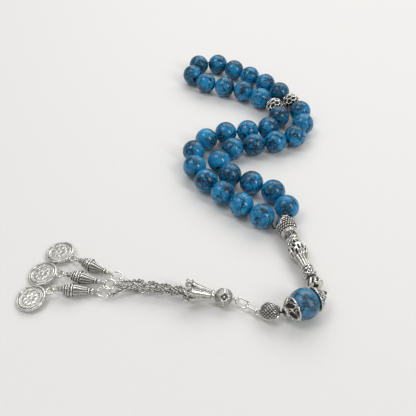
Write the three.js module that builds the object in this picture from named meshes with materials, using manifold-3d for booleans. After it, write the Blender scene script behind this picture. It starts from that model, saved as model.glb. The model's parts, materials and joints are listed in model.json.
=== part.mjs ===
// Misbaha prayer beads lying on a table: stone beads on a closed cord, a cast leader that gathers the two
// cord ends, and a silver tassel of links, a flower cone, chains, bell pendants and coins.
// Units are millimetres, +Z is up, and the table is z = 0.

import * as THREE from "three";
import { mergeVertices } from "three/addons/utils/BufferGeometryUtils.js";
import Module from "manifold-3d";

const wasm = await Module();
wasm.setup();

// Driving dimensions. Every wire is given by its diameter, every ring by the radius of its centre line.
const BEAD_RADIUS = 5;
const SEPARATOR_RADIUS = 4;
const BEAD_HOLE_RADIUS = 1.1;
const SEPARATOR_DROP = 0.5;
const BEAD_GAP = 0.15;
const BEADS_PER_GROUP = 11;
const GROUPS = 3;
const CORD_RADIUS = 0.4;
const CORD_SIDES = 8;
const LEADER_LENGTH = 33.4;
const COLLAR_RADIUS = 1.15;
const COLLAR_HOLE_RADIUS = 0.8;
const TASSEL_BALL_RADIUS = 5.5;
const CAP_REACH = 8;
const OVAL_HALF_LENGTH = 3.5;
const OVAL_RADIUS = 3.2;
const LINK_WIRE = 0.7;
const LINK_RADIUS = 1.35;
const LINK_STRAIGHT = 1.9;
const PIN_WIRE = 0.7;
const PIN_EYE_RADIUS = 0.9;
const HEAD_BALL_RADIUS = 3.25;
const RING_WIRE = 0.65;
const RING_RADIUS = 2.2;
const BELL_WIRE = 0.55;
const BELL_TOP_EYE_RADIUS = 0.85;
const BELL_BASE_EYE_RADIUS = 1.4;
const BELL_LENGTH = 12.6;
const STRAND_EYE_RADIUS = 0.85;
const STRAND_EYE_WIRE = 0.5;
const BELL_TOP_REACH = BELL_TOP_EYE_RADIUS + 0.15;
const BELL_BASE_REACH = BELL_BASE_EYE_RADIUS + 0.15;
const STRAND_RADIUS = 0.6;
const STRAND_TURNS = 1.6;
const STRAND_PHASE = 0.9;
const STRAND_SPREAD = [0.86, 1.75];
const COIN_RADIUS = 5.4;
const COIN_THICKNESS = 1.2;
const COIN_TILT = THREE.MathUtils.degToRad(10);
const BAIL_RADIUS = 1.3;
const BAIL_WIRE = 0.8;
const BAIL_REACH = 6.9;
const RING_PLAY = 0.12;

// The bead centres follow this route, from the leader's side collar round to its top collar.
const BEAD_ROUTE = [
  [31, -35.6, 5],
  [23, -29.2, 5],
  [8.9, -14.9, 5],
  [4, -6.4, 5],
  [3.4, 4.2, 5],
  [9, 12.8, 5],
  [18.2, 17.6, 5],
  [28.4, 18.9, 5],
  [38.2, 21.6, 5],
  [43.4, 30.4, 5],
  [41.8, 39.6, 5],
  [35.8, 45.2, 5],
  [27.2, 51.6, 5],
  [17.8, 55.4, 5],
  [8.6, 59, 5],
  [1.6, 67.2, 5],
  [5.6, 76.8, 5],
  [15.8, 76.6, 5],
  [24.2, 70.6, 5],
  [39.4, 57.6, 5],
  [50.2, 43.2, 5],
  [54, 34.2, 5],
  [54, 23.8, 5],
  [47.8, 13.4, 5],
  [38.8, 10.6, 5],
  [19, 4.8, 5],
  [14.4, -3.6, 5],
  [20, -12.4, 5],
  [28.8, -16.8, 5],
  [37, -22.2, 5],
  [41.4, -31.2, 5],
];

// The leader's two collars, where the cord's ends go in: the mouth of each, and a point in the hollow head.
const SIDE_COLLAR = { mouth: [36.35, -40.35, 3], inner: [39.6, -40.4, 3.9] };
const TOP_COLLAR = { mouth: [39.35, -37.3, 7.6], inner: [39.7, -38.6, 4.6] };

// Directions and reference points of the big pieces.
const LEADER_TOP = new THREE.Vector3(38.95, -36.3, 4.1);
const LEADER_DIRECTION = new THREE.Vector3(0.27, -0.963, -0.029).normalize();
const BALL_CENTRE = new THREE.Vector3(42.5, -77.6, TASSEL_BALL_RADIUS);
const BALL_DIRECTION = new THREE.Vector3(-0.89, -0.456, 0).normalize();
const OVAL_CENTRE = new THREE.Vector3(30.9, -79.4, 3.5);
const OVAL_DIRECTION = new THREE.Vector3(-0.93, 0.26, -0.25).normalize();
const HEAD_CENTRE = new THREE.Vector3(15.15, -73.3, HEAD_BALL_RADIUS + 0.05);
const HEAD_DIRECTION = new THREE.Vector3(-0.985, 0.12, 0.12).normalize();
const LINKS_DIRECTION = new THREE.Vector3(0.81, -0.58, -0.06).normalize();

// Each pendant hangs from the end of its own chain: the end link's place, then the way to the jump ring,
// along the bell, and from the bell to the coin. A bell rises a little to the wide eye at its base.
const BELL_BASE_Z = 3.3;
const PENDANTS = [
  { end: [-21.9, -64.8, 1.8], ring: [-0.7, 0.71], bell: [-0.91, 0.415], coin: [-0.84, 0.54] },
  { end: [-23.4, -67.4, 2.5], ring: [-1, 0.1], bell: [-0.968, 0.25], coin: [-0.99, 0.14] },
  { end: [-25.5, -70.8, 1.6], ring: [-0.87, 0.5], bell: [-1, 0], coin: [-0.94, -0.34] },
];

const UP = new THREE.Vector3(0, 0, 1);
const at = (point) => new THREE.Vector3(...point);
const step = (point, direction, distance) => point.clone().addScaledVector(direction, distance);
const level = (x, y) => new THREE.Vector3(x, y, 0).normalize();
const sideways = (direction) => new THREE.Vector3().crossVectors(UP, direction).normalize();

const STONE = { color: 0x2a7fb0, roughness: 0.25, metalness: 0 };
const SILVER = { color: 0xb9b8b2, roughness: 0.35, metalness: 1 };
const CORD = { color: 0x2b3138, roughness: 0.8, metalness: 0 };

const misbaha = new THREE.Group();

// The turn that lays local +X along a direction and leans local +Z towards another.
function facing(along, face = UP) {
  const x = along.clone().normalize();
  const y = new THREE.Vector3().crossVectors(face, x).normalize();
  return new THREE.Matrix4().makeBasis(x, y, new THREE.Vector3().crossVectors(x, y));
}

const ORIGIN = new THREE.Vector3();
const AHEAD = new THREE.Vector3(1, 0, 0);

function place(name, geometry, look, origin = ORIGIN, along = AHEAD, face = UP) {
  const mesh = new THREE.Mesh(geometry, new THREE.MeshStandardMaterial(look));
  mesh.name = name;
  mesh.position.copy(origin);
  mesh.quaternion.setFromRotationMatrix(facing(along, face));
  misbaha.add(mesh);
}

// Geometry laid in its place already, for pieces that are joined from several.
const posed = (geometry, origin, along, face) =>
  geometry.applyMatrix4(facing(along, face).setPosition(origin));

// A turned body about local X, from a profile of [distance along X, radius].
function turned(profile, sides = 14) {
  const points = profile.map(([along, radius]) => new THREE.Vector2(radius, along));
  return new THREE.LatheGeometry(points, sides).rotateZ(-Math.PI / 2);
}

// A bead of any two half sizes with a straight hole along local X.
function bored(halfLength, radius, hole = BEAD_HOLE_RADIUS, rings = 6, sides = 10) {
  const mouth = Math.asin(hole / radius);
  const profile = [];
  for (let i = 0; i <= rings; i++) {
    const angle = mouth + ((Math.PI - 2 * mouth) * i) / rings;
    profile.push([-halfLength * Math.cos(angle), radius * Math.sin(angle)]);
  }
  profile.push(profile[0]);
  return turned(profile, sides);
}

// A wire ring that lies in the local XY plane; a straight length pulls it out into an oval along X.
function wireRing(radius, wire, straight = 0, steps = 10) {
  const ring = new THREE.TorusGeometry(radius, wire / 2, 6, steps).rotateZ(Math.PI / steps);
  const points = ring.getAttribute("position");
  for (let i = 0; i < points.count; i++) {
    points.setX(i, points.getX(i) + (Math.sign(points.getX(i)) * straight) / 2);
  }
  return ring;
}

function rod(radius, from, to, sides = 8) {
  return turned([[from, 0], [from, radius], [to, radius], [to, 0]], sides);
}

function solidOf(geometry) {
  const plain = geometry.clone();
  plain.deleteAttribute("normal");
  plain.deleteAttribute("uv");
  const merged = mergeVertices(plain, 1e-4);
  return new wasm.Manifold(
    new wasm.Mesh({
      numProp: 3,
      vertProperties: merged.getAttribute("position").array,
      triVerts: new Uint32Array(merged.index.array),
    }),
  );
}

function geometryOf(solid) {
  const { vertProperties, triVerts } = solid.getMesh();
  const geometry = new THREE.BufferGeometry();
  geometry.setAttribute("position", new THREE.BufferAttribute(vertProperties, 3));
  geometry.setIndex(new THREE.BufferAttribute(triVerts, 1));
  geometry.computeVertexNormals();
  return geometry;
}

const joined = (...pieces) => geometryOf(pieces.map(solidOf).reduce((sum, piece) => sum.add(piece)));
const drilled = (body, ...tools) =>
  geometryOf(tools.map(solidOf).reduce((left, tool) => left.subtract(tool), solidOf(body)));

// A path through given points, one step of the sweep for each stretch between them.
class PointPath extends THREE.Curve {
  constructor(points) {
    super();
    this.points = points;
  }
  getPoint(t) {
    const spans = this.points.length - 1;
    const span = Math.min(Math.floor(t * spans), spans - 1);
    return this.points[span].clone().lerp(this.points[span + 1], t * spans - span);
  }
  getUtoTmapping(u) {
    return u;
  }
}

function tube(points, radius) {
  const corners = [];
  for (let i = 0; i < CORD_SIDES; i++) {
    const angle = (2 * Math.PI * (i + 0.5)) / CORD_SIDES;
    corners.push(new THREE.Vector2(radius * Math.cos(angle), radius * Math.sin(angle)));
  }
  const path = new PointPath(points);
  return new THREE.ExtrudeGeometry(new THREE.Shape(corners), { steps: points.length - 1, extrudePath: path });
}

// Bead centres along the route, each at its own chord distance from the last.
function strungCentres(radii) {
  const route = new THREE.CatmullRomCurve3(BEAD_ROUTE.map(at));
  const centres = [route.getPoint(0)];
  let t = 0;
  for (let i = 1; i < radii.length; i++) {
    const pitch = radii[i - 1] + radii[i] + BEAD_GAP;
    while (t < 1 && route.getPoint(t).distanceTo(centres[i - 1]) < pitch) {
      t += 1e-5;
    }
    centres.push(route.getPoint(Math.min(t, 1)));
  }
  return centres;
}

// The string of beads: three groups with a pierced separator between each two.
function strungBeads() {
  const names = [];
  for (let group = 1; group <= GROUPS; group++) {
    for (let i = 1; i <= BEADS_PER_GROUP; i++) {
      names.push(`bead_${String((group - 1) * BEADS_PER_GROUP + i).padStart(2, "0")}`);
    }
    if (group < GROUPS) names.push(`separator_${group}`);
  }
  const isBead = names.map((name) => name.startsWith("bead"));
  const centres = strungCentres(isBead.map((bead) => (bead ? BEAD_RADIUS : SEPARATOR_RADIUS)));
  const lead = ({ mouth, inner }) => [0.35, 1, 1.4].map((share) => at(inner).lerp(at(mouth), share));
  const [before, after] = [SIDE_COLLAR, TOP_COLLAR].map(({ mouth }) => at(mouth));
  const cord = lead(SIDE_COLLAR);
  names.forEach((name, i) => {
    const radius = isBead[i] ? BEAD_RADIUS : SEPARATOR_RADIUS;
    if (!isBead[i]) centres[i].z -= SEPARATOR_DROP;
    const axis = (centres[i + 1] ?? after).clone().sub(centres[i - 1] ?? before).setZ(0).normalize();
    const look = isBead[i] ? STONE : SILVER;
    place(name, bored(radius, radius), look, centres[i], axis);
    const mouth = radius - 0.1;
    cord.push(step(centres[i], axis, -mouth), step(centres[i], axis, mouth));
  });
  cord.push(...lead(TOP_COLLAR).reverse());
  place("bead_cord", tube(cord, CORD_RADIUS), CORD);
}

// The leader: a hollow cast head where both cord ends meet, then a turned stem with rings and a bulb.
function leader() {
  const profile = [
    [0, 0], [0, 1.5], [1.2, 2.9], [2.6, 3.7], [5, 3.9], [7.4, 3.2], [8.1, 3], [8.7, 2.9], [9.1, 2.3],
    [10.5, 2.2], [10.9, 2.7], [11.5, 2.7], [12, 2.3], [13.4, 2.5], [15.2, 3.2], [17.3, 3.4], [19.2, 2.8],
    [23.6, 1.7], [24.8, 1.7], [25.1, 2.2], [26.6, 2.2], [27, 2.4], [29, 2.4], [29.4, 1.9], [30.2, 1.9],
    [30.8, 2.4], [LEADER_LENGTH, 3], [LEADER_LENGTH, 0],
  ];
  const hollow = [[1.6, 0], [2.4, 2.3], [6.6, 2.3], [8, 1], [LEADER_LENGTH + 1, 1], [LEADER_LENGTH + 1, 0]];
  const collars = [SIDE_COLLAR, TOP_COLLAR];
  const across = ({ mouth, inner }, radius, extra) => {
    const way = at(mouth).sub(at(inner));
    return posed(rod(radius, 0, way.length() + extra, 10), at(inner), way);
  };
  const inPlace = (outline) => posed(turned(outline), LEADER_TOP, LEADER_DIRECTION);
  const cast = joined(inPlace(profile), ...collars.map((collar) => across(collar, COLLAR_RADIUS, 0)));
  const bores = collars.map((collar) => across(collar, COLLAR_HOLE_RADIUS, 1));
  place("leader", drilled(cast, inPlace(hollow), ...bores), SILVER);
}

// The tassel's stone ball between two scrolled bead caps, and the woven oval bead.
function ballAndCaps() {
  const ball = bored(TASSEL_BALL_RADIUS, TASSEL_BALL_RADIUS);
  place("tassel_ball", ball, STONE, BALL_CENTRE, BALL_DIRECTION);
  const seat = TASSEL_BALL_RADIUS + 0.25;
  const profile = [
    [CAP_REACH, BEAD_HOLE_RADIUS], [CAP_REACH, 1.6], [7.3, 1.8], [6.6, 2.8], [5.6, 3.7], [4.3, 4.4],
  ];
  for (const degrees of [41, 31, 21, 12]) {
    const angle = THREE.MathUtils.degToRad(degrees);
    profile.push([seat * Math.cos(angle), seat * Math.sin(angle)]);
  }
  profile.push(profile[0]);
  const cap = turned(profile.reverse());
  place("ball_cap_lower", cap, SILVER, BALL_CENTRE, BALL_DIRECTION);
  place("ball_cap_upper", cap.clone(), SILVER, BALL_CENTRE, BALL_DIRECTION.clone().negate());
  const oval = bored(OVAL_HALF_LENGTH, OVAL_RADIUS, 0.9, 8, 14);
  place("oval_bead", oval, SILVER, OVAL_CENTRE, OVAL_DIRECTION);
}

// The second cord, from the knot in the leader's head, round a short bend and through the ball to the crimp.
function tasselCord() {
  const bend = new THREE.CatmullRomCurve3([
    step(LEADER_TOP, LEADER_DIRECTION, LEADER_LENGTH),
    at([48.5, -70.2, 3.5]),
    at([49.6, -71.6, 4.3]),
    at([50.6, -72.6, 5.1]),
    at([50.5, -73.3, 5.5]),
    step(BALL_CENTRE, BALL_DIRECTION, -CAP_REACH),
  ]);
  const points = [
    step(LEADER_TOP, LEADER_DIRECTION, 9.5),
    step(LEADER_TOP, LEADER_DIRECTION, 21),
    ...bend.getPoints(12),
    step(BALL_CENTRE, BALL_DIRECTION, CAP_REACH),
    step(OVAL_CENTRE, OVAL_DIRECTION, -OVAL_HALF_LENGTH + 0.3),
    step(OVAL_CENTRE, OVAL_DIRECTION, OVAL_HALF_LENGTH - 0.1),
  ];
  place("tassel_cord", tube(points, CORD_RADIUS), CORD);
}

// The planes of the linked eyes and links lean to either side of upright in turn.
const lean = (degrees) => UP.clone().applyAxisAngle(LINKS_DIRECTION, THREE.MathUtils.degToRad(degrees));
const PIN_EYE = step(HEAD_CENTRE, HEAD_DIRECTION, -HEAD_BALL_RADIUS - 1.25);

// A crimp with an eye on the cord's end, and two long links from it to the tassel's eye pin.
function crimpAndLinks() {
  const contact = (LINK_WIRE + PIN_WIRE) / 2 + RING_PLAY;
  const reach = LINK_RADIUS + LINK_STRAIGHT / 2;
  const first = step(PIN_EYE, LINKS_DIRECTION, PIN_EYE_RADIUS - contact + reach);
  const second = step(first, LINKS_DIRECTION, 2 * reach - contact);
  const crimpEye = step(second, LINKS_DIRECTION, reach - contact + PIN_EYE_RADIUS);
  const link = () => wireRing(LINK_RADIUS, LINK_WIRE, LINK_STRAIGHT);
  place("link_1", link(), SILVER, first, LINKS_DIRECTION, lean(35));
  place("link_2", link(), SILVER, second, LINKS_DIRECTION, lean(-55));
  const toCord = step(OVAL_CENTRE, OVAL_DIRECTION, OVAL_HALF_LENGTH + 0.5).sub(crimpEye);
  const crimp = joined(
    posed(wireRing(PIN_EYE_RADIUS, PIN_WIRE), crimpEye, LINKS_DIRECTION, lean(35)),
    posed(rod(0.75, PIN_EYE_RADIUS - 0.1, toCord.length(), 10), crimpEye, toCord),
  );
  place("cord_crimp", crimp, SILVER);
}

// The head of the tassel: an eye pin through a faceted ball and a flower cone.
function tasselHead() {
  const innerEye = 6.2;
  const ball = HEAD_BALL_RADIUS;
  const shank = rod(PIN_WIRE / 2, -ball - 0.5, innerEye - PIN_EYE_RADIUS + 0.1, 8);
  const end = step(HEAD_CENTRE, HEAD_DIRECTION, innerEye);
  const pin = joined(
    posed(wireRing(PIN_EYE_RADIUS, PIN_WIRE), PIN_EYE, LINKS_DIRECTION, lean(-55)),
    posed(shank, HEAD_CENTRE, HEAD_DIRECTION),
    posed(wireRing(PIN_EYE_RADIUS, PIN_WIRE), end, HEAD_DIRECTION, sideways(HEAD_DIRECTION)),
  );
  place("tassel_pin", pin, SILVER);
  place("tassel_head_ball", bored(ball, ball, 0.5), SILVER, HEAD_CENTRE, HEAD_DIRECTION);
  const start = ball + 0.2;
  const cone = [
    [start, 0.5], [start, 1.7], [start + 0.5, 2], [start + 1, 2], [start + 1.4, 1.7], [start + 4, 2.4],
    [start + 7.2, 3.3], [start + 9.4, 3.9], [start + 9.4, 3.4], [start + 7.2, 2.8], [start + 4, 1.9],
    [start + 1.6, 1.3], [start + 1.1, 0.5], [start, 0.5],
  ];
  place("flower_cone", turned(cone), SILVER, HEAD_CENTRE, HEAD_DIRECTION);
  return end;
}

// Three fine chains twisted round each other, each ending in a link that stands upright.
function chains(from) {
  const spread = at([-16.5, -67.6, 2.6]);
  const run = spread.clone().sub(from);
  const start = run.clone().normalize();
  const side = sideways(start);
  PENDANTS.forEach(({ end, ring }, k) => {
    const points = [];
    for (let i = 0; i <= 12; i++) {
      const share = i / 12;
      const angle = 2 * Math.PI * (STRAND_TURNS * share + k / 3 + STRAND_PHASE);
      const radius = THREE.MathUtils.lerp(...STRAND_SPREAD, share);
      const centre = step(from, start, 1.6 + share * (run.length() - 1.6));
      points.push(step(step(centre, side, radius * Math.cos(angle)), UP, radius * Math.sin(angle)));
    }
    const away = level(...ring).negate();
    const eyeCentre = at(end);
    points.push(step(eyeCentre, away, STRAND_EYE_RADIUS - 0.1));
    const smooth = new THREE.CatmullRomCurve3(points).getSpacedPoints(20);
    const strand = tube(smooth, STRAND_RADIUS);
    const eye = wireRing(STRAND_EYE_RADIUS, STRAND_EYE_WIRE);
    const upright = posed(eye, eyeCentre, level(...ring), sideways(away));
    place(`chain_${k + 1}`, joined(strand, upright), SILVER);
  });
}

// A bell pendant: a knobbed top, a fluted taper, stepped bands and an upright eye at each end.
function bell() {
  const body = turned([
    [0, 0], [0, 0.8], [0.3, 1.1], [1.2, 1.1], [1.5, 0.9], [1.9, 1.2], [7.3, 2.2], [7.5, 2.5],
    [8.2, 2.5], [8.4, 2.2], [9.7, 2.1], [9.9, 1.8], [11.1, 1.6], [11.4, 1], [12.2, 1],
    [BELL_LENGTH, 0.7], [BELL_LENGTH, 0],
  ], 12);
  const upright = (radius, reach) =>
    wireRing(radius, BELL_WIRE).rotateX(Math.PI / 2).translate(reach, 0, 0);
  const topEye = upright(BELL_TOP_EYE_RADIUS, -BELL_TOP_REACH);
  const baseEye = upright(BELL_BASE_EYE_RADIUS, BELL_LENGTH + BELL_BASE_REACH);
  return joined(body, topEye, baseEye);
}

// A medallion with a raised rim, a raised device on its face and a bail cast in its edge.
function coin() {
  const half = COIN_THICKNESS / 2;
  const disc = turned([
    [-half, 0], [-half, COIN_RADIUS - 0.2], [-half + 0.2, COIN_RADIUS], [half - 0.2, COIN_RADIUS],
    [half, COIN_RADIUS - 0.2], [half, COIN_RADIUS - 0.7], [half - 0.3, COIN_RADIUS - 0.9], [half - 0.3, 0],
  ], 24).rotateY(-Math.PI / 2);
  const bail = wireRing(BAIL_RADIUS, BAIL_WIRE).translate(BAIL_REACH, 0, 0);
  return joined(disc, bail);
}

// One pendant: jump ring, bell and coin, each hooked through the next with a little play.
function pendant({ end, ring, bell: bellWay, coin: coinWay }, number) {
  const slack = (eyeRadius, wires, rise = 0) =>
    Math.sqrt((eyeRadius - wires / 2 - RING_PLAY) ** 2 - rise ** 2);
  const chainHold = RING_RADIUS + slack(STRAND_EYE_RADIUS, STRAND_EYE_WIRE + RING_WIRE);
  const jump = step(at(end), level(...ring), chainHold);
  place(`jump_ring_${number}`, wireRing(RING_RADIUS, RING_WIRE), SILVER, jump, level(...ring));

  const bellHold = RING_RADIUS + slack(BELL_TOP_EYE_RADIUS, BELL_WIRE + RING_WIRE);
  const topEye = step(jump, level(...bellWay), bellHold);
  const eyeSpan = BELL_TOP_REACH + BELL_LENGTH + BELL_BASE_REACH;
  const baseEye = step(topEye, level(...bellWay), eyeSpan).setZ(BELL_BASE_Z);
  const along = baseEye.clone().sub(topEye).normalize();
  place(`bell_${number}`, bell(), SILVER, step(topEye, along, BELL_TOP_REACH), along);

  const bailZ = COIN_THICKNESS / 2 + (COIN_RADIUS + BAIL_REACH) * Math.sin(COIN_TILT);
  const bailHold = BAIL_RADIUS + slack(BELL_BASE_EYE_RADIUS, BELL_WIRE + BAIL_WIRE, BELL_BASE_Z - bailZ);
  const bail = step(baseEye, level(...coinWay), bailHold).setZ(bailZ);
  const back = level(...coinWay).multiplyScalar(-Math.cos(COIN_TILT)).setZ(Math.sin(COIN_TILT));
  place(`coin_${number}`, coin(), SILVER, step(bail, back, -BAIL_REACH), back);
}

strungBeads();
leader();
ballAndCaps();
tasselCord();
crimpAndLinks();
chains(tasselHead());
PENDANTS.forEach((plan, i) => pendant(plan, i + 1));

// The origin is under the middle of the whole piece, on the table.
const middle = new THREE.Box3().setFromObject(misbaha, true).getCenter(new THREE.Vector3());
misbaha.position.set(-middle.x, -middle.y, 0);

export default misbaha;
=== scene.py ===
import json
import math

import bpy
import numpy as np
from mathutils import Matrix, Vector

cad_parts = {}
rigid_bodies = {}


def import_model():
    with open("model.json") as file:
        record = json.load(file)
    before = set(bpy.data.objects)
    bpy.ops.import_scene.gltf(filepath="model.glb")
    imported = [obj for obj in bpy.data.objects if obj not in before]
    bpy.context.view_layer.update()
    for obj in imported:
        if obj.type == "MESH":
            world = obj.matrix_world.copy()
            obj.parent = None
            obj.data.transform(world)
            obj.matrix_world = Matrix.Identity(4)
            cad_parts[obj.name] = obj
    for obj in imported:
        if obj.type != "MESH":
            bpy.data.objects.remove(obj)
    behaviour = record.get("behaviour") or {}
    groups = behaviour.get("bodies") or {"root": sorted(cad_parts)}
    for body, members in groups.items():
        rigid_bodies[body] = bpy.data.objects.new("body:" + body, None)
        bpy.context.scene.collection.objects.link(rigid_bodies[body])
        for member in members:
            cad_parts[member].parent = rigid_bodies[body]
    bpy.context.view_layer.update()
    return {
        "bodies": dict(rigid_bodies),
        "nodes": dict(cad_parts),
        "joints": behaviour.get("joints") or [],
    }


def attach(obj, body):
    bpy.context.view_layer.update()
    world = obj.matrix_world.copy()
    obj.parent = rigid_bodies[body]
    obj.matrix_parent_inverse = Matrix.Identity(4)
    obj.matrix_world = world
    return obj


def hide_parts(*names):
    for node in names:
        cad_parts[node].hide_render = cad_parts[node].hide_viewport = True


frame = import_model()

# ---------------------------------------------------------------------------------------------------------
# The table: the strand lies on a smooth, nearly white sheet of board, as a jeweller lays out a piece.
# A wide panel behind gives the soft shadows. A narrow window light at the right and a small soft one at the
# left put a thin bright streak and a broad pale glow on each stone bead.

MM = 0.001
LOOK_AT = Vector((9.377, -25.343, 0)) * MM
CAMERA_DISTANCE = 231.68 * MM
CAMERA_TILT = math.radians(44.623)
FIELD_OF_VIEW = math.radians(40.634)
TABLE_HALF_WIDTH = 3.0
TABLE_TOP = -0.05 * MM


class Signal:
    """A shader socket that can be used in sums, for a number or a vector."""

    def __init__(self, finish, socket):
        self.finish = finish
        self.socket = socket

    def maths(self, operation, *terms):
        if self.socket.type == "VALUE":
            return self.finish.node("ShaderNodeMath", {"operation": operation}, dict(enumerate(terms)))
        terms = [term if isinstance(term, Signal) else (term, term, term) for term in terms]
        return self.finish.node("ShaderNodeVectorMath", {"operation": operation}, dict(enumerate(terms)))

    def __add__(self, other):
        return self.maths("ADD", self, other)

    def __mul__(self, other):
        return self.maths("MULTIPLY", self, other)

    def __sub__(self, other):
        return self.maths("SUBTRACT", self, other)

    def __rsub__(self, other):
        return self.maths("SUBTRACT", other, self)

    def at_most(self, other):
        return self.maths("MINIMUM", self, other)

    def at_least(self, other):
        return self.maths("MAXIMUM", self, other)

    def between(self, low, high):
        """0 below low, 1 above high, and a smooth step from one to the other."""
        limits = {"From Min": low, "From Max": high, "Value": self}
        return self.finish.node("ShaderNodeMapRange", {"interpolation_type": "SMOOTHSTEP"}, limits)

    __radd__ = __add__
    __rmul__ = __mul__


class Finish:
    """A named material and the nodes that make it."""

    def __init__(self, name):
        self.material = bpy.data.materials.new(name)
        self.material.use_nodes = True
        self.nodes = self.material.node_tree.nodes
        self.links = self.material.node_tree.links
        self.nodes.clear()

    def node(self, kind, settings=None, sockets=None, output=0):
        made = self.nodes.new(kind)
        for key, value in (settings or {}).items():
            setattr(made, key, value)
        for key, value in (sockets or {}).items():
            if isinstance(value, Signal):
                self.links.new(value.socket, made.inputs[key])
            else:
                made.inputs[key].default_value = value
        return Signal(self, made.outputs[output])

    def place(self):
        """Where a point lies on the piece, in millimetres."""
        return self.node("ShaderNodeTexCoord", output="Object") * 1000.0

    def noise(self, place, per_mm, detail=2.0, output="Fac"):
        sockets = {"Vector": place, "Scale": per_mm, "Detail": detail}
        return self.node("ShaderNodeTexNoise", {}, sockets, output)

    def mix(self, share, first, second):
        """One colour blended into another; a Mix node has its colours at 6 and 7 and gives the blend at 2."""
        colours = {"Factor": share, 6: first, 7: second}
        return self.node("ShaderNodeMix", {"data_type": "RGBA"}, colours, 2)

    def surface(self, **sockets):
        named = {key.replace("_", " "): value for key, value in sockets.items()}
        shader = self.node("ShaderNodeBsdfPrincipled", {}, named)
        self.links.new(shader.socket, self.nodes.new("ShaderNodeOutputMaterial").inputs["Surface"])
        return self.material


def board():
    finish = Finish("white_board")
    grain = finish.noise(finish.place(), 0.6, 4.0)
    colour = finish.mix(grain, (0.805, 0.79, 0.765, 1), (0.845, 0.83, 0.805, 1))
    return finish.surface(Base_Color=colour, Roughness=grain.between(0, 1) * 0.1 + 0.5)


def flat_sheet(name, half, height):
    mesh = bpy.data.meshes.new(name)
    corners = [(-half, -half, height), (half, -half, height), (half, half, height), (-half, half, height)]
    mesh.from_pydata(corners, [], [(0, 1, 2, 3)])
    sheet = bpy.data.objects.new(name, mesh)
    bpy.context.scene.collection.objects.link(sheet)
    return sheet


table = flat_sheet("table", TABLE_HALF_WIDTH, TABLE_TOP)
table.data.materials.append(board())


def lamp(name, place, size, power, colour):
    light = bpy.data.lights.new(name, "AREA")
    light.shape = "RECTANGLE"
    light.size, light.size_y = size
    light.energy = power
    light.color = colour
    stand = bpy.data.objects.new(name, light)
    stand.location = place
    stand.rotation_euler = (LOOK_AT - Vector(place)).to_track_quat("-Z", "Y").to_euler()
    bpy.context.scene.collection.objects.link(stand)


lamp("window_light", (0.60, -0.45, 0.60), (0.07, 0.42), 2.1, (1, 0.99, 0.98))
lamp("soft_light", (-0.42, 0.02, 0.84), (0.36, 0.42), 2.0, (0.985, 0.99, 1))
lamp("sky_panel", (0.22, 0.66, 0.68), (1.1, 0.70), 5.05, (1, 0.99, 0.975))

world = bpy.data.worlds.new("studio")
world.use_nodes = True
world.node_tree.nodes["Background"].inputs["Color"].default_value = (0.95, 0.97, 1, 1)
world.node_tree.nodes["Background"].inputs["Strength"].default_value = 0.40
bpy.context.scene.world = world
bpy.context.scene.view_settings.view_transform = "Standard"

lens = bpy.data.cameras.new("camera")
lens.angle = FIELD_OF_VIEW
lens.clip_start = 0.01
camera = bpy.data.objects.new("camera", lens)
camera.rotation_euler = (CAMERA_TILT, 0, 0)
camera.location = LOOK_AT + CAMERA_DISTANCE * Vector((0, -math.sin(CAMERA_TILT), math.cos(CAMERA_TILT)))
bpy.context.scene.collection.objects.link(camera)
bpy.context.scene.camera = camera

# ---------------------------------------------------------------------------------------------------------
# The cords: one waxed braid runs through all the stone beads and both separators, and a second one goes from
# the leader through the tassel's ball to the crimp. The pieces strung on them hold them all the way.


def braid():
    finish = Finish("waxed_braid")
    place = finish.place()
    waves = {"Vector": place, "Scale": 1.6, "Distortion": 1.2, "Detail": 1.0}
    strands = finish.node("ShaderNodeTexWave", {"bands_direction": "DIAGONAL"}, waves, "Fac")
    colour = finish.mix(strands, (0.012, 0.016, 0.02, 1), (0.06, 0.08, 0.09, 1))
    bump = finish.node("ShaderNodeBump", {}, {"Strength": 0.6, "Distance": 0.0001, "Height": strands})
    return finish.surface(Base_Color=colour, Roughness=0.75 - strands * 0.2, Normal=bump)


cord_finish = braid()
for name in ("bead_cord", "tassel_cord"):
    cord = frame["nodes"][name]
    cord.data.materials.clear()
    cord.data.materials.append(cord_finish)
    cord.modifiers.new("one_skin", "WELD").merge_threshold = 0.02 * MM
    cord.modifiers.new("rounded", "SUBSURF").levels = 2

# ---------------------------------------------------------------------------------------------------------
# The stone beads: pale stone turned round, drilled, dyed turquoise blue and polished. Its black web of veins
# is thick in some beads and leaves others nearly clear, and no two are alike.

BEAD_RADIUS = 5.0
BORE_RADIUS = 0.8
STONE_PITCH = 0.45
STONE_SIDES = 48
joint_of = {joint["child"]: joint for joint in frame["joints"]}


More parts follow.
